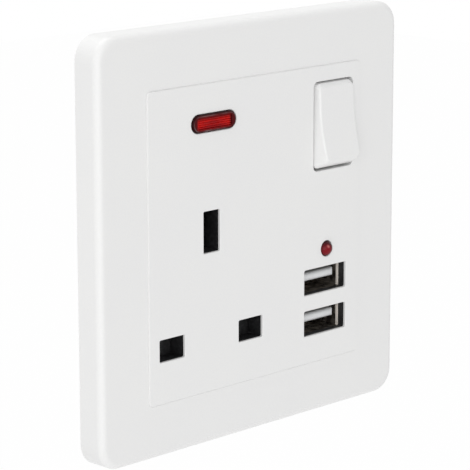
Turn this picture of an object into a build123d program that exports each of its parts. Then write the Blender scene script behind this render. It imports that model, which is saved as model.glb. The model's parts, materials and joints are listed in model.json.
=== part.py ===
# Flush wall socket: three-pin outlet, rocker switch, neon lens and two USB ports.
# Millimetres. The origin is the plate's centre on the wall plane.
# The front faces -Y, the wall box lies towards +Y, and +Z is up.

import os
from math import cos, radians, sin, tan

from build123d import *

os.makedirs("parts", exist_ok=True)

# Front cover
plate_size = 86.0
plate_depth = 6.3
plate_corner_r = 5.0
plate_edge_r = 1.5
cover_wall = 2.0
panel_x = 0.35
panel_z = -0.25
panel_w = 61.3
panel_h = 63.3
panel_corner_r = 1.0
panel_raise = 0.3
panel_slope = 0.12
panel_groove_w = 0.15
panel_groove_depth = 0.06
opening_edge_r = 0.2
lip = 0.6
hook_x = 18.0
hook_w = 8.0
hook_depth = 0.9
hook_len = 1.1
hook_gap = 0.1
notch_w = 10.0
notch_depth = 1.2

# Plug pins and the slots round them
pin_group_x = -12.9
pin_row_z = -20.97
pin_spacing = 22.23
pin_t = 4.0
line_pin_w = 6.35
line_pin_len = 17.7
earth_pin_w = 8.0
earth_pin_len = 22.7
slot_clear = 0.6
slot_corner_r = 0.3

# Rocker switch
rocker_x = 22.9
rocker_z = 18.65
rocker_open_w = 12.1
rocker_open_h = 18.9
rocker_open_r = 1.2
rocker_side_gap = 0.2
rocker_end_gap = 0.28
rocker_tilt = 8.3
rocker_dish = 5.0
rocker_dish_r = 40.0
rocker_bevel = 16.0
rocker_draft = 12.0
rocker_knee = 1.9
rocker_shoulder = 4.4
rocker_nose = 45.0
rocker_face_h = 4.57
rocker_roof = 2.1
rocker_skirt = 0.6
rocker_wall = 1.4
rocker_edge_r = 0.45
pivot_behind = 3.2
trunnion_r = 0.8
trunnion_len = 1.3
shaft_clear = 0.05
stem_size = 4.6
stem_len = 3.2
stem_bore_r = 1.55
stem_bore_depth = 6.0
plunger_clear = 0.1
plunger_seat = 1.2
plunger_reach = 6.3
plunger_tip_r = 1.15
rocker_spring_wire = 0.4
rocker_spring_turns = 5

# Neon lens, lamp and resistor
neon_x = -12.3
neon_z = 23.5
neon_w = 12.3
neon_h = 3.7
neon_proud = 0.4
neon_edge_r = 0.45
neon_window_w = 9.4
neon_window_h = 2.2
neon_window_depth = 0.3
neon_window_r = 0.3
neon_flange = 1.0
neon_flange_t = 1.0
lamp_r = 2.2
lamp_len = 11.0
lamp_end_r = 1.1
lamp_lead_pitch = 2.2
lamp_lead_len = 2.75
lamp_y = 1.0
lamp_rib_gap = 8.0
lamp_rib_t = 1.2
lead_r = 0.3
resistor_r = 1.0
resistor_len = 5.0
resistor_y = 4.2

# USB ports
usb_x = 20.7
usb_upper_z = -14.3
usb_pitch = 8.9
usb_open_w = 12.85
usb_open_h = 5.5
usb_open_r = 0.4
usb_shell_w = 12.75
usb_shell_h = 6.0
usb_shell_t = 0.25
usb_shell_r = 0.5
usb_shell_back = 2.15
usb_tongue_back = 2.6
usb_tongue_w = 10.8
usb_tongue_t = 1.84
usb_tongue_gap = 1.5
usb_tongue_r = 0.8
usb_block_len = 2.7
usb_contact_w = 1.0
usb_contact_t = 0.25
usb_contact_count = 4
usb_contact_pitch = 2.2
usb_contact_inset = 1.2
usb_contact_proud = 0.08
usb_leaf_w = 2.4
usb_leaf_len = 5.0
usb_leaf_start = 2.0
usb_leaf_pitch = 5.6
usb_leaf_cut = 0.4
board_y = 7.2
board_t = 1.6
board_gap = 0.2

# LED above the ports
led_x = 21.05
led_z = -7.75
led_r = 1.66
led_proud = 1.0
led_dome_r = 1.58
led_flange_r = 2.0
led_body_len = 4.0
led_flange_t = 1.0
led_lead_r = 0.25
led_lead_pitch = 2.54

# Socket base with its mounting flange, and the rear housing
flange_t = 2.2
flange_gap = 0.4
fixing_spacing = 60.3
fixing_r = 2.0
fixing_head_r = 3.6
fixing_head_depth = 1.0
deck_gap = 0.1
deck_wall = 1.8
collar_wall = 1.2
collar_gap = 0.15
body_wall = 1.6
body_corner_r = 2.0
body_inner_r = 0.4
port_room = 2.2
port_side_room = 3.0
contact_room = 1.9
deep_room = 2.2
lug_room = 5.65
lug_half_h = 7.5
tip_clear = 0.3
barrier_x = 8.0
barrier_t = 1.0
barrier_z = -2.4
ledge_w = 1.4
vent_count = 5
vent_w = 12.0
vent_h = 1.4
vent_pitch = 2.8
funnel = 0.7
rim_w = 0.9
rim_h = 0.6

# Screws that hold the rear housing
boss_right_x = 10.0
boss_r = 2.6
boss_end_gap = 0.1
boss_side_gap = 0.5
screw_r = 1.2
screw_head_r = 2.0
screw_head_t = 1.6
screw_seat_y = 4.0
screw_bite = 3.4
screw_clear = 0.1

# Contacts and terminals
strip_t = 0.8
line_leaf_w = 5.0
earth_leaf_w = 6.0
leaf_grip = 3.7
leaf_root = 4.6
leaf_flare = 5.2
leaf_front_clear = 1.6
strap_w = 4.0
strap_x = 5.4
strap_bend_r = 1.0
terminal_x_right = 3.0
terminal_w = 7.6
terminal_h = 6.8
terminal_gap = 0.3
terminal_rear = 3.0
tunnel_w = 3.8
tunnel_depth = 4.6
tunnel_wall = 1.1
terminal_screw_r = 1.9
terminal_head_r = 2.4
terminal_head_t = 1.9
terminal_head_lift = 0.6
driver_clear = 0.25
slot_cut_w = 0.7
slot_cut_depth = 0.8

# Switch see-saw
beam_y = 3.0
beam_w = 3.5
beam_t = 0.8
beam_half_len = 8.0
beam_tilt = 6.0
beam_seat_gap = 0.06
beam_ear = 1.2
beam_side_gap = 0.15
tip_r = 1.4
tip_t = 0.7
tip_z = 6.4
contact_gap = 0.15

# Safety shutter
shutter_t = 1.6
shutter_gap = 0.2
shutter_lap = 0.45
shutter_open_clear = 0.15
shutter_rail_w = 2.0
shutter_window_clear = 0.6
ramp_clear = 0.4
ramp_t = 1.6
shutter_top = 10.0
guide_w = 1.0
guide_gap = 0.15
spring_len = 10.0
spring_r = 1.15
spring_wire = 0.35
spring_turns = 7
spring_shelf = 1.2
spring_seat_t = 1.0

# Charger parts behind the board
transformer_x = 15.6
transformer_gap = 1.8
transformer_w = 9.6
transformer_h = 8.4
transformer_len = 7.6
core_t = 3.2
input_cap_x = 24.6
input_cap_r = 3.1
input_cap_len = 7.6
output_cap_x = 24.6
output_cap_r = 2.6
output_cap_len = 6.6
cap_groove = 0.25
cap_edge = 1.4
cap_gap = 3.3
chip_x = 16.4
chip_gap = 4.8
chip_w = 5.0
chip_h = 4.0
chip_t = 1.5
chip_pin_count = 4
chip_pin_w = 0.45
chip_pin_pitch = 1.27
chip_pin_len = 0.9
chip_pin_t = 0.25

# Planes and places that follow from the sizes
face_y = -plate_depth
panel_y = face_y - panel_raise
cover_in_y = face_y + cover_wall
collar_y = panel_y + lip
deck_y = cover_in_y + deck_gap
deck_in_y = deck_y + deck_wall
flange_size = plate_size - 2 * (cover_wall + flange_gap)
flange_corner_r = plate_corner_r - cover_wall - flange_gap
neutral_x = pin_group_x - pin_spacing / 2
live_x = pin_group_x + pin_spacing / 2
earth_z = pin_row_z + pin_spacing
line_slot_w = line_pin_w + slot_clear
line_slot_h = pin_t + slot_clear
earth_slot_w = pin_t + slot_clear
earth_slot_h = earth_pin_w + slot_clear
line_slot_places = [(neutral_x, pin_row_z), (live_x, pin_row_z)]
earth_slot_place = (pin_group_x, earth_z)
usb_zs = [usb_upper_z, usb_upper_z - usb_pitch]
shell_y = panel_y + usb_shell_back
tongue_y = panel_y + usb_tongue_back
board_back_y = board_y + board_t
pivot_y = panel_y + pivot_behind
shallow_in_y = panel_y + line_pin_len + tip_clear + strip_t
deep_in_y = panel_y + earth_pin_len + tip_clear + strip_t
shallow_y = shallow_in_y + body_wall
deep_y = deep_in_y + body_wall
line_base_y = shallow_in_y - strip_t
body_left = line_leaf_w / 2 + contact_room + body_wall - neutral_x
body_right = usb_x + usb_shell_w / 2 + port_side_room + body_wall
body_half_h = usb_shell_h / 2 - usb_zs[-1] + port_room + body_wall
terminal_x_left = pin_group_x
deep_left = terminal_x_left - terminal_w / 2 - deep_room - body_wall
lug_x = fixing_spacing / 2 - lug_room
boss_left_x = boss_r + boss_side_gap - body_left
boss_z = body_half_h - boss_r - boss_end_gap
cavity_right = body_right - body_wall
cavity_half_h = body_half_h - body_wall
terminal_back_y = deep_in_y - terminal_rear
beam_axis_y = beam_y + beam_t
fixed_y = beam_axis_y + tip_t + tip_z * sin(radians(beam_tilt)) + contact_gap + tip_t
terminal_front_y = fixed_y + strip_t
terminal_z = cavity_half_h - terminal_gap - terminal_h / 2
terminal_places = [
    (terminal_x_left, -terminal_z),
    (terminal_x_left, terminal_z),
    (terminal_x_right, terminal_z),
]
tunnel_y = terminal_front_y + tunnel_wall + tunnel_depth / 2
boss_places = [(x, z) for x in (boss_left_x, boss_right_x) for z in (-boss_z, boss_z)]
shutter_y = deck_in_y + shutter_gap
shutter_back_y = shutter_y + shutter_t
shutter_half_h = line_slot_h / 2 + shutter_lap
shutter_travel = line_slot_h + shutter_lap + shutter_open_clear
window_half = earth_slot_w / 2 + shutter_window_clear / 2
rail_half = window_half + shutter_rail_w
ramp_top = earth_z + earth_pin_w / 2 + ramp_clear
ramp_drop = shutter_travel + ramp_clear / 2
ramp_rear_y = shutter_y + ramp_drop
spring_y = shutter_y + spring_r + spring_wire / 2
board_left = barrier_x + barrier_t + board_gap
board_right = cavity_right - board_gap
board_bottom = -cavity_half_h + board_gap
board_step_z = -lug_half_h - body_wall - board_gap
board_tab_right = lug_x - body_wall - board_gap
board_top = barrier_z - barrier_t - board_gap
output_cap_z = board_bottom + cap_edge + output_cap_r
input_cap_z = output_cap_z + output_cap_r + cap_gap + input_cap_r
transformer_z = board_top - transformer_gap - transformer_h / 2
chip_z = transformer_z - transformer_h / 2 - chip_gap - chip_h / 2


def at(y):
    # Plane across the socket at depth y, with its normal towards the front.
    return Plane.XZ.offset(-y)


def side(x, y, z, angle=0):
    # Plane seen from +X: local x runs to the rear and local y runs up, turned by angle.
    turn = radians(angle)
    return Plane(origin=(x, y, z), x_dir=(0, cos(turn), sin(turn)), z_dir=(1, 0, 0))


def along(x, y, z, angle, reach):
    # Plane at a distance along a tilted front-to-rear axis, with its normal to the rear.
    turn = radians(angle)
    back = Vector(0, cos(turn), sin(turn))
    return Plane(origin=Vector(x, y, z) + back * reach, x_dir=(1, 0, 0), z_dir=back)


def slots(grow):
    # The three pin slots, each grown by the same amount all round.
    with Locations(*line_slot_places):
        RectangleRounded(line_slot_w + 2 * grow, line_slot_h + 2 * grow, slot_corner_r + grow)
    with Locations(earth_slot_place):
        RectangleRounded(earth_slot_w + 2 * grow, earth_slot_h + 2 * grow, slot_corner_r + grow)


def ports(grow):
    # The two USB windows, grown all round.
    with Locations(*[(usb_x, z) for z in usb_zs]):
        RectangleRounded(usb_open_w + 2 * grow, usb_open_h + 2 * grow, usb_open_r + grow)


def body_outline(inset, left):
    # Section of the rear body: a block with a recess each side for the wall box lugs.
    width = body_right + left - 2 * inset
    with Locations(((body_right - left) / 2, 0)):
        RectangleRounded(width, 2 * (body_half_h - inset), max(body_corner_r - inset, body_inner_r))
    spans = [(lug_x - inset, body_right - inset)]
    if left > lug_x:
        spans.append((inset - left, inset - lug_x))
    for low, high in spans:
        with Locations(((low + high) / 2, 0)):
            Rectangle(high - low, 2 * (lug_half_h + inset), mode=Mode.SUBTRACT)


# White cover: a shallow tray with a raised panel, openings and snap hooks
with BuildPart() as front_cover:
    with BuildSketch(at(0)):
        RectangleRounded(plate_size, plate_size, plate_corner_r)
    extrude(amount=plate_depth)
    fillet(front_cover.faces().sort_by(Axis.Y)[0].edges(), plate_edge_r)
    for y, drawn_in in ((face_y, 0), (panel_y, panel_slope)):
        with BuildSketch(at(y)):
            with Locations((panel_x, panel_z)):
                RectangleRounded(
                    panel_w - 2 * drawn_in, panel_h - 2 * drawn_in, panel_corner_r - drawn_in / 2
                )
    loft()
    with BuildSketch(at(face_y)):
        with Locations((panel_x, panel_z)):
            foot = panel_corner_r + panel_groove_w
            RectangleRounded(panel_w + 2 * panel_groove_w, panel_h + 2 * panel_groove_w, foot)
            RectangleRounded(panel_w, panel_h, panel_corner_r, mode=Mode.SUBTRACT)
    extrude(amount=-panel_groove_depth, mode=Mode.SUBTRACT)
    with BuildSketch(at(0)):
        inner = plate_size - 2 * cover_wall
        RectangleRounded(inner, inner, plate_corner_r - cover_wall)
    extrude(amount=plate_depth - cover_wall, mode=Mode.SUBTRACT)
    with BuildSketch(at(0)):
        slots(0)
        ports(0)
        with Locations((rocker_x, rocker_z)):
            RectangleRounded(rocker_open_w, rocker_open_h, rocker_open_r)
        with Locations((neon_x, neon_z)):
            SlotOverall(neon_w + 2 * shaft_clear, neon_h + 2 * shaft_clear)
        with Locations((led_x, led_z)):
            Circle(led_r + shaft_clear)
    extrude(amount=-panel_y, mode=Mode.SUBTRACT)
    front = front_cover.faces().sort_by(Axis.Y)[0]
    fillet([edge for wire in front.inner_wires() for edge in wire.edges()], opening_edge_r)
    with BuildSketch(at(cover_in_y)):
        slots(collar_wall + collar_gap)
        ports(collar_wall + collar_gap)
    extrude(amount=cover_in_y - collar_y, mode=Mode.SUBTRACT)
    for up in (1, -1):
        for x in (-hook_x, hook_x):
            wall_z = up * (plate_size / 2 - cover_wall)
            with BuildSketch(side(x - hook_w / 2, 0, 0)):
                with BuildLine():
                    Polyline(
                        (-hook_len, wall_z),
                        (-hook_len, wall_z - up * hook_depth),
                        (0, wall_z),
                        close=True,
                    )
                make_face()
            extrude(amount=hook_w)
    with BuildSketch(at(0)):
        with Locations((0, -plate_size / 2 + cover_wall / 2)):
            Rectangle(notch_w, cover_wall)
    extrude(amount=notch_depth, mode=Mode.SUBTRACT)

# Black base: mounting flange, deck with collars, rocker well, lamp ribs and shutter guides
with BuildPart() as socket_base:
    with BuildSketch(at(0)):
        RectangleRounded(flange_size, flange_size, flange_corner_r)
    extrude(amount=flange_t)
    with BuildSketch(at(-flange_t)):
        body_outline(0, body_left)
    extrude(amount=-flange_t - deck_y)
    with BuildSketch(at(deck_y)):
        slots(collar_wall)
        ports(collar_wall)
    extrude(amount=deck_y - collar_y)
    with BuildSketch(at(0)):
        body_outline(body_wall, body_left)
    extrude(amount=-deck_in_y, mode=Mode.SUBTRACT)
    well_half_w = rocker_open_w / 2
    well_half_h = rocker_open_h / 2 + rocker_end_gap
    well_wall = trunnion_len + body_wall / 2
    with BuildSketch(at(pivot_y + trunnion_r + body_wall)):
        with Locations((rocker_x, rocker_z)):
            Rectangle(2 * (well_half_w + well_wall), 2 * well_half_h)
    extrude(amount=pivot_y + trunnion_r + body_wall - deck_y)
    for x, z in boss_places:
        with BuildSketch(at(0)):
            with Locations((x, z)):
                Circle(boss_r)
        extrude(amount=-deck_in_y)
    for sign in (-1, 1):
        with BuildSketch(at(shutter_back_y)):
            with Locations((pin_group_x + sign * (rail_half + guide_gap + guide_w / 2), earth_z)):
                Rectangle(guide_w, 2 * (shutter_top - earth_z))
        extrude(amount=shutter_back_y - deck_in_y)
        with BuildSketch(at(resistor_y + resistor_r)):
            with Locations((neon_x + sign * lamp_rib_gap / 2, neon_z)):
                Rectangle(lamp_rib_t, 2 * (lamp_r + lamp_rib_t))
        extrude(amount=resistor_y + resistor_r - deck_in_y)
    with BuildSketch(at(spring_y + spring_r + spring_wire)):
        with Locations((pin_group_x, shutter_top + spring_len + spring_seat_t / 2)):
            Rectangle(2 * rail_half, spring_seat_t)
    extrude(amount=spring_y + spring_r + spring_wire - deck_in_y)
    with BuildSketch(side(neon_x - lamp_rib_gap, lamp_y, neon_z)):
        Circle(lamp_r + shaft_clear)
        with Locations((resistor_y - lamp_y, 0)):
            Circle(lead_r + shaft_clear)
    extrude(amount=2 * lamp_rib_gap, mode=Mode.SUBTRACT)
    with BuildSketch(at(0)):
        slots(0)
        ports(0)
        with Locations((rocker_x, rocker_z)):
            Rectangle(2 * well_half_w, 2 * well_half_h)
        with Locations((neon_x, neon_z)):
            SlotOverall(neon_w - neon_flange, neon_h - neon_flange)
        with Locations((led_x, led_z)):
            Circle(led_flange_r + collar_gap)
    extrude(amount=-collar_y, mode=Mode.SUBTRACT)
    with BuildSketch(at(0)):
        with Locations(*[(usb_x, z) for z in usb_zs]):
            RectangleRounded(
                usb_shell_w + 2 * collar_gap, usb_shell_h + 2 * collar_gap, usb_shell_r + collar_gap
            )
    extrude(amount=-shell_y + collar_gap / 2, mode=Mode.SUBTRACT)
    with BuildSketch(at(deck_y + neon_flange_t)):
        with Locations((neon_x, neon_z)):
            SlotOverall(neon_w + 2 * (neon_flange + collar_gap), neon_h + 2 * (neon_flange + collar_gap))
    extrude(amount=neon_flange_t, mode=Mode.SUBTRACT)
    trunnion_reach = rocker_open_w / 2 - rocker_side_gap + trunnion_len + collar_gap
    with BuildSketch(side(rocker_x - trunnion_reach, pivot_y, rocker_z)):
        Circle(trunnion_r + shaft_clear)
        with Locations((-(pivot_y - deck_y) / 2, 0)):
            Rectangle(pivot_y - deck_y, 2 * (trunnion_r + shaft_clear))
    extrude(amount=2 * trunnion_reach, mode=Mode.SUBTRACT)
    with BuildSketch(at(0)):
        with GridLocations(fixing_spacing, 0, 2, 1):
            Circle(fixing_r)
    extrude(amount=flange_t, mode=Mode.SUBTRACT)
    with BuildSketch(at(-flange_t + fixing_head_depth)):
        with GridLocations(fixing_spacing, 0, 2, 1):
            Circle(fixing_head_r)
    extrude(amount=fixing_head_depth, mode=Mode.SUBTRACT)
    with BuildSketch(at(0)):
        with Locations(*boss_places):
            Circle(screw_r + shaft_clear)
    extrude(amount=screw_bite + screw_clear, mode=Mode.SUBTRACT)
    hook_pocket_z = flange_size / 2 - hook_depth / 2
    with BuildSketch(at(0)):
        with GridLocations(2 * hook_x, 2 * hook_pocket_z, 2, 2):
            Rectangle(hook_w + 2 * hook_gap, hook_depth)
    extrude(amount=hook_len + hook_gap, mode=Mode.SUBTRACT)

# Black rear housing: stepped shell with bosses, screw towers, ribs and wire entries
with BuildPart() as rear_housing:
    with BuildSketch(at(shallow_y)):
        body_outline(0, body_left)
    extrude(amount=shallow_y)
    with BuildSketch(at(deep_y)):
        body_outline(0, -deep_left)
    extrude(amount=deep_y)
    with BuildSketch(at(shallow_in_y)):
        body_outline(body_wall, body_left)
    extrude(amount=shallow_in_y, mode=Mode.SUBTRACT)
    with BuildSketch(at(deep_in_y)):
        body_outline(body_wall, -deep_left)
    extrude(amount=deep_in_y, mode=Mode.SUBTRACT)
    fillet(rear_housing.faces().sort_by(Axis.Y)[-1].outer_wire().edges(), body_wall / 2)
    for x, z in boss_places:
        with BuildSketch(at(shallow_in_y if x < deep_left else deep_in_y)):
            with Locations((x, z)):
                Circle(boss_r)
        extrude(amount=shallow_in_y if x < deep_left else deep_in_y)
    with BuildSketch(at(deep_in_y)):
        with Locations(*terminal_places):
            Rectangle(terminal_w, terminal_h)
    extrude(amount=deep_in_y - terminal_back_y)
    with BuildSketch(at(deep_in_y)):
        with Locations((live_x, pin_row_z)):
            Rectangle(line_leaf_w, leaf_root)
        with Locations((strap_x, rocker_z), (rocker_x, rocker_z)):
            Rectangle(strap_w, strap_w)
    extrude(amount=deep_in_y - shallow_in_y)
    with BuildSketch(at(deep_in_y)):
        with Locations((rocker_x, rocker_z + tip_z)):
            Rectangle(strap_w, strap_w)
    extrude(amount=deep_in_y - terminal_front_y)
    with BuildSketch(at(deep_in_y)):
        barrier_h = barrier_z + cavity_half_h
        with Locations((barrier_x + barrier_t / 2, barrier_z - barrier_h / 2)):
            Rectangle(barrier_t, barrier_h)
        with Locations(((barrier_x + lug_x - body_wall) / 2, barrier_z - barrier_t / 2)):
            Rectangle(lug_x - body_wall - barrier_x, barrier_t)
    extrude(amount=deep_in_y)
    with BuildSketch(at(deep_in_y)):
        ledge_top = board_top
        ledge_bottom = -boss_z + boss_r
        with Locations((barrier_x + barrier_t + ledge_w / 2, (ledge_top + ledge_bottom) / 2)):
            Rectangle(ledge_w, ledge_top - ledge_bottom)
        with Locations((cavity_right - ledge_w / 2, (board_step_z - cavity_half_h) / 2)):
            Rectangle(ledge_w, board_step_z + cavity_half_h)
    extrude(amount=deep_in_y - board_back_y)
    with BuildSketch(at(deep_in_y)):
        with Locations((pin_group_x, pin_row_z + shutter_travel)):
            Rectangle(2 * rail_half, strip_t)
    extrude(amount=deep_in_y - shutter_back_y - shutter_gap)
    for x, z in boss_places:
        rear = shallow_y if x < deep_left else deep_y
        with BuildSketch(at(rear)):
            with Locations((x, z)):
                Circle(screw_head_r + screw_clear)
        extrude(amount=rear - screw_seat_y, mode=Mode.SUBTRACT)
    with BuildSketch(at(screw_seat_y)):
        with Locations(*boss_places):
            Circle(screw_r + screw_clear)
    extrude(amount=screw_seat_y, mode=Mode.SUBTRACT)
    with BuildSketch(at(deep_y + rim_h)):
        with Locations(*terminal_places):
            Circle(terminal_head_r + driver_clear + rim_w)
    extrude(amount=rim_h + body_wall)
    with BuildSketch(at(deep_y + rim_h)):
        with Locations(*terminal_places):
            Circle(terminal_head_r + driver_clear)
    extrude(amount=deep_y + rim_h - terminal_back_y, mode=Mode.SUBTRACT)
    with BuildSketch(at(deep_y)):
        with Locations(((board_left + board_right) / 2, sum(usb_zs) / 2)):
            with GridLocations(0, vent_pitch, 1, vent_count):
                SlotOverall(vent_w, vent_h)
    extrude(amount=deep_y - deep_in_y, mode=Mode.SUBTRACT)
    for x, z in terminal_places:
        up = 1 if z > 0 else -1
        with BuildSketch(Plane.XY.offset(up * cavity_half_h)):
            with Locations((x, tunnel_y)):
                Rectangle(tunnel_w + slot_clear, tunnel_depth + slot_clear)
        extrude(amount=up * body_wall, mode=Mode.SUBTRACT)
        mouth = Plane(origin=(x, tunnel_y, up * body_half_h), x_dir=(1, 0, 0), z_dir=(0, 0, -up))
        for inward, spread in ((0, funnel), (funnel, 0)):
            with BuildSketch(mouth.offset(inward)):
                grown = slot_clear + 2 * spread
                Rectangle(tunnel_w + grown, tunnel_depth + grown)
        loft(mode=Mode.SUBTRACT)

# Four self-tapping screws that hold the housing to the base
with BuildPart() as housing_screws:
    for x, z in boss_places:
        with BuildSketch(at(screw_seat_y)):
            with Locations((x, z)):
                Circle(screw_r)
        extrude(amount=screw_seat_y + screw_bite)
        with BuildSketch(at(screw_seat_y + screw_head_t)):
            with Locations((x, z)):
                Circle(screw_head_r)
        extrude(amount=screw_head_t)
        with BuildSketch(at(screw_seat_y + screw_head_t)):
            with Locations((x, z)):
                Rectangle(2 * screw_r, slot_cut_w)
                Rectangle(slot_cut_w, 2 * screw_r)
        extrude(amount=slot_cut_depth, mode=Mode.SUBTRACT)

# Rocker cap at rest: the top is pressed in and the lower half stands out
rocker_w = rocker_open_w - 2 * rocker_side_gap
rocker_half = rocker_open_h / 2 - rocker_end_gap
bevel = tan(radians(rocker_bevel))
nose = tan(radians(rocker_nose))
dish = tan(radians(rocker_dish))
shoulder_half = rocker_half - (rocker_shoulder - rocker_knee) * bevel
tip_half = (rocker_shoulder - rocker_face_h + shoulder_half / nose) / (dish + 1 / nose)
tip_h = rocker_face_h + tip_half * dish
crown = tip_h + rocker_edge_r
seam = rocker_dish_r * dish
with BuildPart() as rocker:
    corner_r = rocker_open_r - rocker_side_gap
    with BuildSketch(along(rocker_x, pivot_y, rocker_z, -rocker_tilt, rocker_skirt)):
        RectangleRounded(rocker_w, 2 * rocker_half, corner_r)
    extrude(amount=-(rocker_skirt + rocker_knee))
    sections = (
        (rocker_knee, rocker_half),
        (rocker_shoulder, shoulder_half),
        (crown, shoulder_half - (crown - rocker_shoulder) * nose),
    )
    for reach, half in sections:
        with BuildSketch(along(rocker_x, pivot_y, rocker_z, -rocker_tilt, -reach)):
            drawn_in = (reach - rocker_knee) * tan(radians(rocker_draft))
            RectangleRounded(rocker_w - 2 * drawn_in, 2 * half, corner_r)
    loft(ruled=True)
    with BuildSketch(side(rocker_x - rocker_w / 2, pivot_y, rocker_z, -rocker_tilt)) as dished:
        rim_front = rocker_face_h + rocker_half * dish
        with BuildLine():
            Polyline(
                (-rocker_face_h, 0),
                (-rim_front, rocker_half),
                (-2 * crown, rocker_half),
                (-2 * crown, -rocker_half),
                (-rim_front, -rocker_half),
                close=True,
            )
        make_face()
        fillet(dished.vertices().sort_by_distance((-rocker_face_h, 0, 0))[0], rocker_dish_r)
    extrude(amount=rocker_w, mode=Mode.SUBTRACT)
    front = rocker.faces().filter_by(lambda face: face.normal_at().Y < -cos(radians(2 * rocker_bevel)))
    rims = front.edges().filter_by(
        lambda edge: abs(edge.center().X - rocker_x) > rocker_wall
        or abs(edge.center().Z - rocker_z) > seam + rocker_wall
    )
    fillet(rims, rocker_edge_r)
    pocket_h = rocker_face_h - rocker_roof
    with BuildSketch(side(rocker_x - rocker_w / 2 + rocker_wall, pivot_y, rocker_z, -rocker_tilt)):
        with Locations(((rocker_skirt - pocket_h) / 2, 0)):
            Rectangle(rocker_skirt + pocket_h, 2 * (tip_half - rocker_wall))
    extrude(amount=rocker_w - 2 * rocker_wall, mode=Mode.SUBTRACT)
    with BuildSketch(side(rocker_x - stem_size / 2, pivot_y, rocker_z, -rocker_tilt)):
        with Locations(((stem_len - pocket_h) / 2, 0)):
            Rectangle(stem_len + pocket_h, stem_size)
    extrude(amount=stem_size)
    for sign in (-1, 1):
        with BuildSketch(side(rocker_x + sign * (rocker_w / 2 - rocker_wall), pivot_y, rocker_z)):
            Circle(trunnion_r)
        extrude(amount=sign * (rocker_wall + trunnion_len))
    with BuildSketch(along(rocker_x, pivot_y, rocker_z, -rocker_tilt, stem_len)):
        Circle(stem_bore_r)
    extrude(amount=-stem_bore_depth, mode=Mode.SUBTRACT)

# Plunger and spring inside the rocker's stem
plunger_r = stem_bore_r - plunger_clear
with BuildPart() as rocker_plunger:
    with BuildSketch(along(rocker_x, pivot_y, rocker_z, -rocker_tilt, plunger_seat)):
        Circle(plunger_r)
    extrude(amount=plunger_reach - plunger_seat)
    tip = rocker_plunger.faces().sort_by(Axis.Y)[-1]
    fillet(tip.edges(), plunger_tip_r)

with BuildPart() as rocker_spring:
    coil_len = plunger_seat - (stem_len - stem_bore_depth) - rocker_spring_wire
    coil_start = along(
        rocker_x, pivot_y, rocker_z, -rocker_tilt, plunger_seat - rocker_spring_wire / 2 - coil_len
    )
    with BuildLine() as rocker_coil:
        Helix(
            pitch=coil_len / rocker_spring_turns,
            height=coil_len,
            radius=plunger_r - rocker_spring_wire / 2,
            center=coil_start.origin,
            direction=coil_start.z_dir,
        )
    with BuildSketch(Plane(origin=rocker_coil.line @ 0, z_dir=rocker_coil.line % 0)):
        Circle(rocker_spring_wire / 2)
    sweep(path=rocker_coil.line, is_frenet=True)

# Neon lens, lamp and resistor
with BuildPart() as neon_lens:
    with BuildSketch(at(deck_y + neon_flange_t - collar_gap / 2)):
        with Locations((neon_x, neon_z)):
            SlotOverall(neon_w + 2 * neon_flange, neon_h + 2 * neon_flange)
    extrude(amount=deck_y + neon_flange_t - collar_gap / 2 - cover_in_y)
    with BuildSketch(at(cover_in_y)):
        with Locations((neon_x, neon_z)):
            SlotOverall(neon_w, neon_h)
    extrude(amount=cover_in_y - panel_y + neon_proud)
    fillet(neon_lens.faces().sort_by(Axis.Y)[0].edges(), neon_edge_r)
    with BuildSketch(at(panel_y - neon_proud + neon_window_depth)):
        with Locations((neon_x, neon_z)):
            RectangleRounded(neon_window_w, neon_window_h, neon_window_r)
    extrude(amount=neon_window_depth, mode=Mode.SUBTRACT)

with BuildPart() as neon_lamp:
    with BuildSketch(side(neon_x - lamp_len / 2, lamp_y, neon_z)):
        Circle(lamp_r)
    extrude(amount=lamp_len)
    fillet(neon_lamp.faces().sort_by(Axis.X)[0].edges(), lamp_end_r)
    with BuildSketch(side(neon_x + lamp_len / 2, lamp_y, neon_z)):
        with GridLocations(lamp_lead_pitch, 0, 2, 1):
            Circle(lead_r)
    extrude(amount=lamp_lead_len)

with BuildPart() as neon_resistor:
    with BuildSketch(side(neon_x - resistor_len / 2, resistor_y, neon_z)):
        Circle(resistor_r)
    extrude(amount=resistor_len)
    fillet(neon_resistor.edges(), resistor_r / 3)
    lead_half = lamp_rib_gap / 2 + lamp_rib_t
    with BuildSketch(side(neon_x - lead_half, resistor_y, neon_z)):
        Circle(lead_r)
    extrude(amount=2 * lead_half)

# Safety shutter: a crossbar behind the line slots, and a ramp that the earth pin lifts
with BuildPart() as shutter:
    window_bottom = earth_z - earth_pin_w / 2 - shutter_open_clear - shutter_travel
    with BuildSketch(at(shutter_back_y)):
        with Locations((pin_group_x, pin_row_z)):
            Rectangle(pin_spacing + line_slot_w + 2 * shutter_lap, 2 * shutter_half_h)
        with Locations((pin_group_x, (pin_row_z + shutter_top) / 2)):
            Rectangle(2 * rail_half, shutter_top - pin_row_z)
        with Locations((pin_group_x, (window_bottom + ramp_top) / 2)):
            Rectangle(2 * window_half, ramp_top - window_bottom, mode=Mode.SUBTRACT)
    extrude(amount=shutter_t)
    with BuildSketch(side(pin_group_x - window_half, 0, 0)):
        with BuildLine():
            Polyline(
                (shutter_y, ramp_top),
                (ramp_rear_y, ramp_top - ramp_drop),
                (ramp_rear_y, ramp_top - ramp_drop + ramp_t),
                (shutter_y + ramp_t, ramp_top),
                close=True,
            )
        make_face()
    extrude(amount=2 * window_half)
    with BuildSketch(at(spring_y + spring_r)):
        with Locations((pin_group_x, shutter_top - spring_shelf / 2)):
            Rectangle(2 * (spring_r + spring_wire), spring_shelf)
    extrude(amount=spring_y + spring_r - shutter_y)

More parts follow.
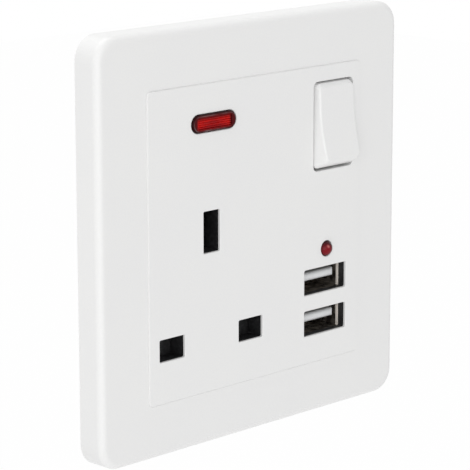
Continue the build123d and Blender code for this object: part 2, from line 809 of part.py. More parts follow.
with BuildPart() as shutter_spring:
    spring_rise = spring_len - spring_wire
    with BuildLine() as shutter_coil:
        Helix(
            pitch=spring_rise / spring_turns,
            height=spring_rise,
            radius=spring_r,
            center=(pin_group_x, spring_y, shutter_top + spring_wire / 2),
        )
    with BuildSketch(Plane(origin=shutter_coil.line @ 0, z_dir=shutter_coil.line % 0)):
        Circle(spring_wire / 2)
    sweep(path=shutter_coil.line, is_frenet=True)

# Folded brass contacts
line_front_y = shutter_back_y + leaf_front_clear
earth_front_y = ramp_rear_y + leaf_front_clear / 2


def leaf_line(front_y, root_y, sign):
    # Centre line of one contact leaf: root, grip and flared mouth.
    offsets = [(gap + strip_t) / 2 for gap in (leaf_root, leaf_grip, leaf_flare)]
    grip_y = front_y + leaf_flare / 2
    return [(root_y, sign * offsets[0]), (grip_y, sign * offsets[1]), (front_y, sign * offsets[2])]


def line_clip(x):
    # Leaves above and below a line pin.
    for sign in (-1, 1):
        with BuildSketch(side(x - line_leaf_w / 2, 0, pin_row_z)) as leaf:
            with BuildLine():
                FilletPolyline(*leaf_line(line_front_y, shallow_in_y - strip_t / 2, sign), radius=strip_t)
            trace(line_width=strip_t)
        extrude(leaf.sketch, amount=line_leaf_w)


with BuildPart() as neutral_contact:
    line_clip(neutral_x)
    tab_x = terminal_x_left - terminal_w / 2
    with BuildSketch(at(shallow_in_y)):
        with Locations((neutral_x, pin_row_z)):
            Rectangle(line_leaf_w, leaf_root + 2 * strip_t)
        with Locations(((neutral_x + tab_x) / 2, pin_row_z)):
            Rectangle(tab_x - neutral_x, strap_w)
    extrude(amount=strip_t)
    with BuildSketch(at(shallow_in_y)):
        with Locations((tab_x - strip_t / 2, pin_row_z)):
            Rectangle(strip_t, strap_w)
    extrude(amount=strap_w)

with BuildPart() as live_contact:
    line_clip(live_x)
    with BuildSketch(at(shallow_in_y)):
        with Locations((live_x, pin_row_z)):
            Rectangle(line_leaf_w, leaf_root + 2 * strip_t)
        with BuildLine():
            FilletPolyline(
                (live_x, pin_row_z),
                (strap_x, pin_row_z),
                (strap_x, rocker_z),
                (rocker_x + strap_w / 2, rocker_z),
                radius=strap_w / 2 + strap_bend_r,
            )
        trace(line_width=strap_w)
    extrude(amount=strip_t)
    post_w = beam_w + 2 * (beam_side_gap + beam_ear)
    with BuildSketch(at(line_base_y)):
        with Locations((rocker_x, rocker_z)):
            Rectangle(post_w, strip_t)
    extrude(amount=line_base_y - beam_axis_y - beam_seat_gap)
    with BuildSketch(at(beam_axis_y + beam_seat_gap)):
        with Locations((rocker_x, rocker_z)):
            Rectangle(post_w, strip_t)
            Rectangle(beam_w + 2 * beam_side_gap, strip_t, mode=Mode.SUBTRACT)
    extrude(amount=2 * beam_t)

with BuildPart() as earth_contact:
    for sign in (-1, 1):
        with BuildSketch(Plane.XY.offset(earth_z - earth_leaf_w / 2)):
            with BuildLine():
                points = leaf_line(earth_front_y, deep_in_y - strip_t / 2, sign)
                FilletPolyline(*[(pin_group_x + across, y) for y, across in points], radius=strip_t)
            trace(line_width=strip_t)
        extrude(amount=earth_leaf_w)
    block_foot = terminal_z - terminal_h / 2
    with BuildSketch(at(deep_in_y)):
        with Locations((pin_group_x, earth_z)):
            Rectangle(leaf_root + 2 * strip_t, earth_leaf_w)
        with Locations((pin_group_x, (earth_z + block_foot) / 2)):
            Rectangle(strap_w, block_foot - earth_z)
    extrude(amount=strip_t)
    with BuildSketch(at(deep_in_y)):
        with Locations((pin_group_x, block_foot - strip_t / 2)):
            Rectangle(strap_w, strip_t)
    extrude(amount=terminal_rear + tunnel_wall)

# Switch contacts
with BuildPart() as moving_contact:
    with BuildSketch(side(rocker_x - beam_w / 2, beam_axis_y, rocker_z, beam_tilt)):
        with Locations((-beam_t / 2, 0)):
            Rectangle(beam_t, 2 * beam_half_len)
    extrude(amount=beam_w)
    with BuildSketch(along(rocker_x, beam_axis_y, rocker_z, beam_tilt, 0)):
        with Locations((0, -tip_z)):
            Circle(tip_r)
    extrude(amount=tip_t)

strap_z = boss_z - boss_r - terminal_gap - strap_w / 2
fixed_tip_z = rocker_z + tip_z
with BuildPart() as fixed_contact:
    with BuildSketch(at(terminal_front_y)):
        strap_left = terminal_x_right - terminal_w / 2
        strap_right = rocker_x + strap_w / 2
        with Locations(((strap_left + strap_right) / 2, strap_z)):
            Rectangle(strap_right - strap_left, strap_w)
        strap_top = fixed_tip_z + strap_w / 2
        with Locations((rocker_x, (strap_z + strap_top) / 2)):
            Rectangle(strap_w, strap_top - strap_z)
    extrude(amount=strip_t)
    with BuildSketch(at(fixed_y)):
        with Locations((rocker_x, fixed_tip_z)):
            Circle(tip_r)
    extrude(amount=tip_t)

# Terminal cages and their screws
terminals = {}
for name, place in zip(("neutral_terminal", "earth_terminal", "live_terminal"), terminal_places):
    with BuildPart() as terminals[name]:
        with BuildSketch(at(terminal_back_y)):
            with Locations(place):
                Rectangle(terminal_w, terminal_h)
        extrude(amount=terminal_back_y - terminal_front_y)
        with BuildSketch(Plane.XY.offset(place[1])):
            with Locations((place[0], tunnel_y)):
                Rectangle(tunnel_w, tunnel_depth)
        extrude(amount=terminal_h, both=True, mode=Mode.SUBTRACT)
        with BuildSketch(at(terminal_back_y)):
            with Locations(place):
                Circle(terminal_screw_r + shaft_clear)
        extrude(amount=terminal_back_y - tunnel_y, mode=Mode.SUBTRACT)

with BuildPart() as terminal_screws:
    head_y = terminal_back_y + terminal_head_lift
    shank_y = tunnel_y + tunnel_depth / 2
    with BuildSketch(at(head_y)):
        with Locations(*terminal_places):
            Circle(terminal_screw_r)
    extrude(amount=head_y - shank_y)
    with BuildSketch(at(head_y + terminal_head_t)):
        with Locations(*terminal_places):
            Circle(terminal_head_r)
    extrude(amount=terminal_head_t)
    with BuildSketch(at(head_y + terminal_head_t)):
        with Locations(*terminal_places):
            Rectangle(2 * terminal_head_r, slot_cut_w)
    extrude(amount=slot_cut_depth, mode=Mode.SUBTRACT)

# USB ports: shell, insulator with its tongue, and four contact strips each
shell_inner_w = usb_shell_w - 2 * usb_shell_t
shell_inner_h = usb_shell_h - 2 * usb_shell_t
shell_inner_r = usb_shell_r - usb_shell_t / 2
ports_made = {}
for level, port_z in zip(("upper", "lower"), usb_zs):
    tongue_z = port_z + shell_inner_h / 2 - usb_tongue_gap - usb_tongue_t / 2
    strip_z = tongue_z - usb_tongue_t / 2 + usb_contact_t / 2 - usb_contact_proud
    strip_y = tongue_y + usb_contact_inset
    block_y = board_y - usb_block_len
    with BuildPart() as ports_made[f"usb_shell_{level}"]:
        with BuildSketch(at(board_y)):
            with Locations((usb_x, port_z)):
                RectangleRounded(usb_shell_w, usb_shell_h, usb_shell_r)
                RectangleRounded(shell_inner_w, shell_inner_h, shell_inner_r, mode=Mode.SUBTRACT)
        extrude(amount=board_y - shell_y)
        with BuildSketch(Plane.XY.offset(port_z - usb_shell_h / 2)):
            with Locations((usb_x, shell_y + usb_leaf_start + usb_leaf_len / 2)):
                with GridLocations(usb_leaf_pitch, 0, 2, 1):
                    Rectangle(usb_leaf_w + 2 * usb_leaf_cut, usb_leaf_len)
            with Locations((usb_x, shell_y + usb_leaf_start + (usb_leaf_len - usb_leaf_cut) / 2)):
                with GridLocations(usb_leaf_pitch, 0, 2, 1):
                    Rectangle(usb_leaf_w, usb_leaf_len - usb_leaf_cut, mode=Mode.SUBTRACT)
        extrude(amount=usb_shell_h, mode=Mode.SUBTRACT)
    with BuildPart() as ports_made[f"usb_tongue_{level}"]:
        with BuildSketch(at(board_y)):
            with Locations((usb_x, port_z)):
                RectangleRounded(
                    shell_inner_w - 2 * shaft_clear, shell_inner_h - 2 * shaft_clear, shell_inner_r
                )
        extrude(amount=usb_block_len)
        with BuildSketch(at(block_y)):
            with Locations((usb_x, tongue_z)):
                Rectangle(usb_tongue_w, usb_tongue_t)
        extrude(amount=block_y - tongue_y)
        tongue_front = ports_made[f"usb_tongue_{level}"].faces().sort_by(Axis.Y)[0]
        fillet(tongue_front.edges(), usb_tongue_r)
        with BuildSketch(at(board_y)):
            with Locations((usb_x, strip_z)):
                with GridLocations(usb_contact_pitch, 0, usb_contact_count, 1):
                    Rectangle(usb_contact_w + 2 * shaft_clear, usb_contact_t + 2 * shaft_clear)
        extrude(amount=board_y - strip_y + shaft_clear, mode=Mode.SUBTRACT)
    with BuildPart() as ports_made[f"usb_contacts_{level}"]:
        with BuildSketch(at(board_y)):
            with Locations((usb_x, strip_z)):
                with GridLocations(usb_contact_pitch, 0, usb_contact_count, 1):
                    Rectangle(usb_contact_w, usb_contact_t)
        extrude(amount=board_y - strip_y)

# LED with its two leads
with BuildPart() as usb_led:
    led_front = panel_y - led_proud
    led_back = led_front + led_r + led_body_len
    with BuildSketch(at(led_back)):
        with Locations((led_x, led_z)):
            Circle(led_r)
    extrude(amount=led_back - led_front)
    fillet(usb_led.faces().sort_by(Axis.Y)[0].edges(), led_dome_r)
    with BuildSketch(at(led_back)):
        with Locations((led_x, led_z)):
            Circle(led_flange_r)
    extrude(amount=led_flange_t)
    with BuildSketch(at(board_y)):
        with Locations((led_x, led_z)):
            with GridLocations(led_lead_pitch, 0, 2, 1):
                Circle(led_lead_r)
    extrude(amount=board_y - led_back)

# Charger board and what it carries
with BuildPart() as usb_board:
    cut_x = boss_right_x + boss_r + board_gap
    cut_z = -boss_z + boss_r + board_gap
    with BuildSketch(at(board_back_y)):
        with BuildLine():
            Polyline(
                (board_left, board_top),
                (board_tab_right, board_top),
                (board_tab_right, board_step_z),
                (board_right, board_step_z),
                (board_right, board_bottom),
                (cut_x, board_bottom),
                (cut_x, cut_z),
                (board_left, cut_z),
                close=True,
            )
        make_face()
    extrude(amount=board_t)

with BuildPart() as transformer:
    with BuildSketch(at(board_back_y + transformer_len)):
        with Locations((transformer_x, transformer_z)):
            RectangleRounded(transformer_w - core_t / 2, transformer_h, core_t / 3)
            Rectangle(transformer_w, core_t)
    extrude(amount=transformer_len)

capacitors = {
    "input_capacitor": (input_cap_x, input_cap_z, input_cap_r, input_cap_len),
    "output_capacitor": (output_cap_x, output_cap_z, output_cap_r, output_cap_len),
}
cans = {}
for name, (can_x, can_z, can_r, can_len) in capacitors.items():
    with BuildPart() as cans[name]:
        with BuildSketch(at(board_back_y + can_len)):
            with Locations((can_x, can_z)):
                Circle(can_r)
        extrude(amount=can_len)
        fillet(cans[name].faces().sort_by(Axis.Y)[-1].edges(), cap_groove * 2)
        with BuildSketch(at(board_back_y + can_len / 4)):
            with Locations((can_x, can_z)):
                Circle(can_r)
                Circle(can_r - cap_groove, mode=Mode.SUBTRACT)
        extrude(amount=2 * cap_groove, mode=Mode.SUBTRACT)

with BuildPart() as charger_chip:
    with BuildSketch(at(board_back_y + chip_t)):
        with Locations((chip_x, chip_z)):
            Rectangle(chip_w, chip_h)
    extrude(amount=chip_t)
    with BuildSketch(at(board_back_y + chip_pin_t)):
        with Locations((chip_x, chip_z)):
            with GridLocations(chip_pin_pitch, 0, chip_pin_count, 1):
                Rectangle(chip_pin_w, chip_h + 2 * chip_pin_len)
    extrude(amount=chip_pin_t)

pieces = {
    "front_cover": front_cover,
    "socket_base": socket_base,
    "rear_housing": rear_housing,
    "housing_screws": housing_screws,
    "rocker": rocker,
    "rocker_plunger": rocker_plunger,
    "rocker_spring": rocker_spring,
    "moving_contact": moving_contact,
    "fixed_contact": fixed_contact,
    "neon_lens": neon_lens,
    "neon_lamp": neon_lamp,
    "neon_resistor": neon_resistor,
    "shutter": shutter,
    "shutter_spring": shutter_spring,
    "neutral_contact": neutral_contact,
    "live_contact": live_contact,
    "earth_contact": earth_contact,
    "terminal_screws": terminal_screws,
    "usb_led": usb_led,
    "usb_board": usb_board,
    "transformer": transformer,
    "charger_chip": charger_chip,
    **terminals,
    **ports_made,
    **cans,
}
for name, piece in pieces.items():
    piece.part.label = name
    export_step(piece.part, f"parts/{name}.step")
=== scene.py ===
import json
from math import cos, radians, sin

import bpy
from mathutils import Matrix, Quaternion, Vector


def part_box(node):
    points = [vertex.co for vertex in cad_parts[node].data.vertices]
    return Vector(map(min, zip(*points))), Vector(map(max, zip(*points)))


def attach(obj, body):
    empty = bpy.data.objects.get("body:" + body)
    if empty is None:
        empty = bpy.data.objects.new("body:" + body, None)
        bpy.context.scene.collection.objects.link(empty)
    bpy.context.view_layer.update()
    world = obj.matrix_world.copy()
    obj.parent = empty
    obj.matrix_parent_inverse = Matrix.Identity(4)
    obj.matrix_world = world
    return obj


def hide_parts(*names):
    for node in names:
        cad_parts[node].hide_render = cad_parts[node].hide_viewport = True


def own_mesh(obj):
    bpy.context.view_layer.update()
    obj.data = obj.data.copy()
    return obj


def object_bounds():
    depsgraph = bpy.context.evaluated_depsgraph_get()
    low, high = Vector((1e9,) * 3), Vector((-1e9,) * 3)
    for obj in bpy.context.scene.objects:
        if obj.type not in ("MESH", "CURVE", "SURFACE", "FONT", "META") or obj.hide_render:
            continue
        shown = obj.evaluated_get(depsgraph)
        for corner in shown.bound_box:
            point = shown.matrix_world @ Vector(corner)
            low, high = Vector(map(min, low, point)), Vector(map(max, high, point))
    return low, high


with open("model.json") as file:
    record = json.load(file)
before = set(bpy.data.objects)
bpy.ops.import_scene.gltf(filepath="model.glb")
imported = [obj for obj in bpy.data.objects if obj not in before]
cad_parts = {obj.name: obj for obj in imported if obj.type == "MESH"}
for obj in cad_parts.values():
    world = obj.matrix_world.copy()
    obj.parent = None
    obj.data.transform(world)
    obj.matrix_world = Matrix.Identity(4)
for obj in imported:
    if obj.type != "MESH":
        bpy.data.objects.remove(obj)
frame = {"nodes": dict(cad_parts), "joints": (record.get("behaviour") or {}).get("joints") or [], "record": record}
cadLow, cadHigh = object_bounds()
scene = bpy.context.scene
scene.view_settings.view_transform = "Standard"
mm = 0.001
print("frame loaded:", len(frame["nodes"]), "nodes")


def paint(red, green, blue):
    # A colour as a screen shows it, 0 to 255, turned into the linear values that sockets take.
    shares = [value / 255 for value in (red, green, blue)]
    linear = [v / 12.92 if v < 0.04045 else ((v + 0.055) / 1.055) ** 2.4 for v in shares]
    return (*linear, 1.0)


def middleOf(node):
    low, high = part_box(node)
    return low.lerp(high, 0.5)


class Wire:
    # One output socket. Arithmetic on it adds Math nodes to its tree.
    def __init__(self, graph, socket):
        self.graph = graph
        self.socket = socket

    def maths(self, operation, *terms):
        return self.graph.node("ShaderNodeMath", {"operation": operation}, dict(enumerate(terms)))

    def __add__(self, other):
        return self.maths("ADD", self, other)

    def __sub__(self, other):
        return self.maths("SUBTRACT", self, other)

    def __rsub__(self, other):
        return self.maths("SUBTRACT", other, self)

    def __mul__(self, other):
        return self.maths("MULTIPLY", self, other)

    def __truediv__(self, other):
        return self.maths("DIVIDE", self, other)

    def __rtruediv__(self, other):
        return self.maths("DIVIDE", other, self)

    def __abs__(self):
        return self.maths("ABSOLUTE", self)

    def __lt__(self, other):
        return self.maths("LESS_THAN", self, other)

    def __gt__(self, other):
        return self.maths("GREATER_THAN", self, other)

    __radd__ = __add__
    __rmul__ = __mul__

    def most(self, other):
        return self.maths("MAXIMUM", self, other)

    def root(self):
        return self.maths("SQRT", self)

    def fraction(self):
        return self.maths("FRACT", self)


class Graph:
    # A node tree with one method that adds any node.
    def __init__(self, tree):
        self.tree = tree
        tree.nodes.clear()

    def node(self, kind, settings=None, sockets=None, out=0):
        made = self.tree.nodes.new(kind)
        for key, value in (settings or {}).items():
            setattr(made, key, value)
        for key, value in (sockets or {}).items():
            if isinstance(value, Wire):
                self.tree.links.new(value.socket, made.inputs[key])
            else:
                made.inputs[key].default_value = value
        return Wire(self, made.outputs[out]) if made.outputs else made


class Finish(Graph):
    # One procedural material. Patterns read Object coordinates, in metres.
    def __init__(self, name):
        self.material = bpy.data.materials.new(name)
        self.material.use_nodes = True
        super().__init__(self.material.node_tree)
        self.place = self.node("ShaderNodeTexCoord", out="Object")

    def axes(self):
        place = {0: self.place}
        return [self.node("ShaderNodeSeparateXYZ", None, place, axis) for axis in range(3)]

    def noise(self, size, detail=2.0, stretch=(1, 1, 1)):
        # Soft noise whose spots are about size across, drawn out along an axis by stretch.
        scale = [1 / (size * pull) for pull in stretch]
        spot = self.node("ShaderNodeMapping", None, {"Vector": self.place, "Scale": scale})
        sockets = {"Vector": spot, "Scale": 1.0, "Detail": detail}
        return self.node("ShaderNodeTexNoise", None, sockets)

    def ease(self, value, low, high):
        # 0 at low and 1 at high, smooth between them.
        sockets = {0: value, 1: low, 2: high}
        return self.node("ShaderNodeMapRange", {"interpolation_type": "SMOOTHSTEP"}, sockets)

    def between(self, mask, first, second):
        sockets = {0: mask, 6: first, 7: second}
        return self.node("ShaderNodeMix", {"data_type": "RGBA"}, sockets, 2)

    def bump(self, height, strength, depth):
        sockets = {"Height": height, "Strength": strength, "Distance": depth}
        return self.node("ShaderNodeBump", None, sockets)

    def principled(self, sockets):
        return self.node("ShaderNodeBsdfPrincipled", None, sockets)

    def output(self, shader):
        self.node("ShaderNodeOutputMaterial", None, {"Surface": shader})
        return self.material

    def surface(self, sockets):
        return self.output(self.principled(sockets))


# Camera where the photograph was taken
photoView = {
    "azimuth": -45.08,
    "elevation": 12.614,
    "roll": -0.069,
    "lens": 179.6,
    "sensor": 36.0,
    "distance": 475.06 * mm,
    "target": (-6.41 * mm, -6.6 * mm, -0.49 * mm),
}


def makeCamera(view):
    turn, lift = radians(view["azimuth"]), radians(view["elevation"])
    back = Vector((sin(turn) * cos(lift), -cos(turn) * cos(lift), sin(lift)))
    data = bpy.data.cameras.new("photoCamera")
    data.lens = view["lens"]
    data.sensor_width = view["sensor"]
    camera = bpy.data.objects.new("photoCamera", data)
    camera.location = Vector(view["target"]) + back * view["distance"]
    camera.rotation_mode = "QUATERNION"
    roll = Quaternion((0, 0, 1), radians(view["roll"]))
    camera.rotation_quaternion = back.to_track_quat("Z", "Y") @ roll
    scene.collection.objects.link(camera)
    scene.camera = camera


makeCamera(photoView)
print("camera placed")

# Studio: white world, pale floor and soft lamps
white = paint(255, 255, 255)
worldLight = {"ambient": 0.605, "seen": 1.0}
floorLook = {
    "drop": 450 * mm,
    "size": 6.0,
    "colour": paint(236, 236, 236),
    "seenGlow": 0.985,
    "leastGlow": 0.26,
}
studioLamps = {
    "keyLamp": {"place": (-0.8, -1.0, 0.1), "size": 1.3, "power": 6.6},
    "topLamp": {"place": (-0.1, 0.35, 1.3), "size": 1.3, "power": 8.8},
    "leftLamp": {"place": (-1.3, -0.25, 0.1), "size": 1.2, "power": 1.4},
}


def seenDirectly(graph):
    # 1 where the camera, a mirror or glass looks straight at the surface, so white shows there too.
    camera, glossy, through = [graph.node("ShaderNodeLightPath", None, None, f"Is {ray} Ray")
                               for ray in ("Camera", "Glossy", "Transmission")]
    return camera.most(glossy).most(through)


def makeWorld(plan):
    world = bpy.data.worlds.new("studioWorld")
    world.use_nodes = True
    scene.world = world
    graph = Graph(world.node_tree)
    dim, bright = [graph.node("ShaderNodeBackground", None, {"Color": white, "Strength": strength})
                   for strength in (plan["ambient"], plan["seen"])]
    mixed = graph.node("ShaderNodeMixShader", None, {0: seenDirectly(graph), 1: dim, 2: bright})
    graph.node("ShaderNodeOutputWorld", None, {"Surface": mixed})


def makeFloor(plan):
    half = plan["size"] / 2
    corners = [(-half, -half), (half, -half), (half, half), (-half, half)]
    level = cadLow.z - plan["drop"]
    mesh = bpy.data.meshes.new("studioFloor")
    mesh.from_pydata([(x, y, level) for x, y in corners], [], [(0, 1, 2, 3)])
    floor = bpy.data.objects.new("studioFloor", mesh)
    scene.collection.objects.link(floor)
    finish = Finish("studioFloor")
    matt = finish.node("ShaderNodeBsdfDiffuse", None, {"Color": plan["colour"]})
    glow = finish.node("ShaderNodeEmission", None, {"Color": white, "Strength": 1.0})
    share = (seenDirectly(finish) * plan["seenGlow"]).most(plan["leastGlow"])
    mixed = finish.node("ShaderNodeMixShader", None, {0: share, 1: matt, 2: glow})
    mesh.materials.append(finish.output(mixed))


def makeLamp(name, lamp):
    data = bpy.data.lights.new(name, "AREA")
    data.energy = lamp["power"]
    data.size = lamp["size"]
    light = bpy.data.objects.new(name, data)
    light.location = lamp["place"]
    light.rotation_euler = Vector(lamp["place"]).to_track_quat("Z", "Y").to_euler()
    scene.collection.objects.link(light)


makeWorld(worldLight)
makeFloor(floorLook)
for lampName, lampPlan in studioLamps.items():
    makeLamp(lampName, lampPlan)
print("studio lit")

# Mouldings: white front, black body, port insulators and the nylon plunger
mouldings = {
    "white_plastic": {
        "base": paint(234, 234, 234), "cloud": paint(236, 236, 235), "cloudSize": 18 * mm,
        "grainSize": 0.35 * mm, "grainDepth": 0.012 * mm, "gloss": 0.26,
    },
    "black_plastic": {
        "base": paint(18, 18, 19), "cloud": paint(42, 42, 44), "cloudSize": 9 * mm,
        "grainSize": 0.6 * mm, "grainDepth": 0.06 * mm, "gloss": 0.44,
    },
    "port_insulator": {
        "base": paint(234, 236, 237), "cloud": paint(240, 241, 242), "cloudSize": 3 * mm,
        "grainSize": 0.2 * mm, "grainDepth": 0.008 * mm, "gloss": 0.36,
    },
    "plunger_nylon": {
        "base": paint(222, 218, 204), "cloud": paint(232, 229, 218), "cloudSize": 1.2 * mm,
        "grainSize": 0.15 * mm, "grainDepth": 0.006 * mm, "gloss": 0.38,
    },
}
mouldingFeel = {
    "grainDetail": 3.0, "cloudShare": 0.3, "grainShare": 0.7, "toneSpan": (0.36, 0.64),
    "cloudMatt": 0.08, "grainMatt": 0.06, "relief": 0.35,
}


def moulding(name, look, feel):
    finish = Finish(name)
    cloud = finish.noise(look["cloudSize"])
    grain = finish.noise(look["grainSize"], feel["grainDetail"])
    mottle = feel["cloudShare"] * cloud + feel["grainShare"] * grain
    tone = finish.ease(mottle, *feel["toneSpan"])
    return finish.surface({
        "Base Color": finish.between(tone, look["base"], look["cloud"]),
        "Roughness": look["gloss"] + feel["cloudMatt"] * cloud + feel["grainMatt"] * grain,
        "Normal": finish.bump(grain, feel["relief"], look["grainDepth"]),
    })


# Metals: lines along the rolling direction, tarnish in soft patches
metals = {
    "gilt_contacts": {
        "base": paint(228, 190, 106), "tarnish": paint(196, 150, 72), "patch": 1.6 * mm,
        "lines": 0.06 * mm, "stretch": (1, 14, 1), "gloss": 0.2, "depth": 0.003 * mm,
    },
    "contact_brass": {
        "base": paint(214, 178, 104), "tarnish": paint(158, 118, 60), "patch": 3.5 * mm,
        "lines": 0.12 * mm, "stretch": (1, 18, 1), "gloss": 0.28, "depth": 0.006 * mm,
    },
    "terminal_brass": {
        "base": paint(208, 176, 112), "tarnish": paint(150, 116, 62), "patch": 2.4 * mm,
        "lines": 0.16 * mm, "stretch": (16, 16, 1), "gloss": 0.34, "depth": 0.01 * mm,
    },
    "plated_screws": {
        "base": paint(204, 203, 196), "tarnish": paint(150, 146, 128), "patch": 1.4 * mm,
        "lines": 0.1 * mm, "stretch": (1, 10, 1), "gloss": 0.26, "depth": 0.006 * mm,
    },
    "spring_steel": {
        "base": paint(170, 171, 174), "tarnish": paint(108, 104, 100), "patch": 1.0 * mm,
        "lines": 0.07 * mm, "stretch": (6, 6, 1), "gloss": 0.3, "depth": 0.004 * mm,
    },
}
metalFeel = {
    "patchDetail": 4.0, "patchSpan": (0.45, 0.75), "patchMatt": 0.14,
    "lineMatt": 0.12, "relief": 0.4,
}


def metal(name, look, feel):
    finish = Finish(name)
    patch = finish.ease(finish.noise(look["patch"], feel["patchDetail"]), *feel["patchSpan"])
    lines = finish.noise(look["lines"], stretch=look["stretch"])
    return finish.surface({
        "Base Color": finish.between(patch, look["base"], look["tarnish"]),
        "Metallic": 1.0,
        "Roughness": look["gloss"] + feel["patchMatt"] * patch + feel["lineMatt"] * lines,
        "Normal": finish.bump(lines, feel["relief"], look["depth"]),
    })


# Port shells: pale at the cut rim of the side walls as painted light, darker inside with darker patches as painted
# shade
shellLook = {
    # the pale rim is painted light; the inside colour and its darker patches are painted shade
    "rim": paint(240, 232, 223),
    "rimSpan": (0.45 * mm, 0.55 * mm),
    "sheet": 0.4 * mm,
    "inside": paint(138, 132, 124),
    "insideMetal": 0.85,
    "insideMatt": 0.1,
    "shadePatch": paint(66, 60, 56),
    "shadePatchSize": 1.6 * mm,
    "shadePatchDetail": 3.0,
    "shadePatchSpan": (0.4, 0.62),
    "gloss": 0.28,
    "lineSize": 0.1 * mm,
    "lineStretch": (12, 1, 1),
    "lineMatt": 0.16,
    "relief": 0.3,
    "reliefDepth": 0.004 * mm,
}


def portShell(name, look):
    finish = Finish(name)
    low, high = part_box("usb_shell_upper")
    across, depth = finish.axes()[:2]
    inside = finish.ease(depth, *[low.y + step for step in look["rimSpan"]])
    sideWall = abs(across - (low.x + high.x) / 2) > (high.x - low.x) / 2 - look["sheet"]
    inside = inside.most(1 - sideWall)
    lines = finish.noise(look["lineSize"], stretch=look["lineStretch"])
    # painted shade: darker patches over the darker inside, behind the painted light of the pale rim
    shadePatch = finish.noise(look["shadePatchSize"], look["shadePatchDetail"])
    shadePatch = finish.ease(shadePatch, *look["shadePatchSpan"])
    paintedInsideShade = finish.between(shadePatch, look["inside"], look["shadePatch"])
    return finish.surface({
        "Base Color": finish.between(inside, look["rim"], paintedInsideShade),
        "Metallic": look["insideMetal"] * inside,
        "Roughness": look["gloss"] + look["lineMatt"] * lines + look["insideMatt"] * inside,
        "Normal": finish.bump(lines, look["relief"], look["reliefDepth"]),
    })


# Red lens: a dark moulded rim with a gleam on its edge, round a bright ribbed window; painted shade darkens its
# outer edge, both ends and a band above and right of the window
lensLook = {
    "face": (12.3 * mm, 3.7 * mm),
    # painted shade along the rounded outer edge
    "edgeShade": paint(34, 1, 3),
    "edgeShadeWidth": 0.7 * mm,
    "rim": paint(84, 4, 8),
    "rimLight": paint(112, 16, 20),
    "hazeSize": 0.9 * mm,
    # painted shade towards both ends
    "endShade": paint(76, 5, 9),
    "endShadeSpan": (3.8 * mm, 4.9 * mm),
    "core": paint(194, 20, 15),
    "streak": paint(154, 14, 18),
    "streakSize": 0.5 * mm,
    "streakDetail": 3.0,
    "streakStretch": (10, 1, 1),
    "streakSpan": (0.35, 0.7),
    # the shifted window leaves a band of painted shade above it and at its right end
    "window": (9.1 * mm, 1.95 * mm),
    "windowShift": (0.28 * mm, 0.08 * mm),
    "soft": 0.7 * mm,
    "gleamInner": (0.52 * mm, 0.42 * mm),
    "gleamOuter": (0.24 * mm, 0.34 * mm),
    "gleamSize": 2.5 * mm,
    "gleamSpan": (0.35, 0.65),
    "gleamIor": 1.75,
    "gleamBlur": 0.1,
    "gloss": 0.16,
    "hazeMatt": 0.1,
    "specular": 0.08,
    "relief": 0.2,
    "reliefDepth": 0.02 * mm,
}


def redLens(name, look):
    finish = Finish(name)
    middle = middleOf("neon_lens")
    x, z = finish.axes()[::2]
    across, tall = x - middle.x, z - middle.z

    # The window, soft at its edges, shifted down and left so a band of painted shade shows above it and at its
    # right end
    soft = look["soft"] / 2
    aside, drop = look["windowShift"]
    sides = [finish.ease(abs(offset), size / 2 + soft, size / 2 - soft)
             for offset, size in zip((across + aside, tall + drop), look["window"])]
    window = sides[0] * sides[1]
    streaks = finish.noise(look["streakSize"], look["streakDetail"], look["streakStretch"])
    streaks = finish.ease(streaks, *look["streakSpan"])
    core = finish.between(streaks, look["core"], look["streak"])

    # The rim, by the distance from the middle line of the long face
    haze = finish.noise(look["hazeSize"])
    radius = look["face"][1] / 2
    past = (abs(across) - (look["face"][0] / 2 - radius)).most(0.0)
    reach = (past * past + tall * tall).root()
    # painted shade: darker towards both ends and along the rounded outer edge
    ends = finish.ease(abs(across), *look["endShadeSpan"])
    edge = finish.ease(reach, radius - look["edgeShadeWidth"], radius)
    rim = finish.between(haze, look["rim"], look["rimLight"])
    rim = finish.between(ends, rim, look["endShade"])
    rim = finish.between(edge, rim, look["edgeShade"])
    gleam = finish.ease(reach, *[radius - step for step in look["gleamInner"]])
    gleam = gleam * finish.ease(reach, *[radius - step for step in look["gleamOuter"]])
    gleam = gleam * finish.ease(finish.noise(look["gleamSize"]), *look["gleamSpan"])
    return finish.surface({
        "Base Color": finish.between(window, rim, core),
        "Roughness": look["gloss"] + look["hazeMatt"] * haze,
        "Specular IOR Level": look["specular"],
        "Coat Weight": gleam,
        "Coat Roughness": look["gleamBlur"],
        "Coat IOR": look["gleamIor"],
        "Normal": finish.bump(streaks, look["relief"], look["reliefDepth"]),
    })


# LED: deep red epoxy, darker towards its edge as painted shade of the dome, with a pale glint that is a painted
# highlight
ledLook = {
    # painted shade of the dome, from the heart to the edge
    "heart": paint(124, 10, 24),
    "heartPlace": (-0.5 * mm, -0.2 * mm),
    "edge": paint(58, 4, 11),
    "edgeSpan": (0.5 * mm, 1.7 * mm),
    # a painted highlight on the dome
    "paintedGlint": paint(196, 116, 112),
    "glintPlace": (-0.4 * mm, 0.6 * mm),
    "glintReach": 0.5 * mm,
    "glintLeast": 0.5,
    "glintMottle": 0.5,
    "glintSize": 0.4 * mm,
    "lead": paint(196, 196, 192),
    "leadStart": 4.2 * mm,
    "leadMatt": 0.15,
    "gloss": 0.1,
    "hazeSize": 0.3 * mm,
    "hazeMatt": 0.06,
    "specular": 0.15,
}


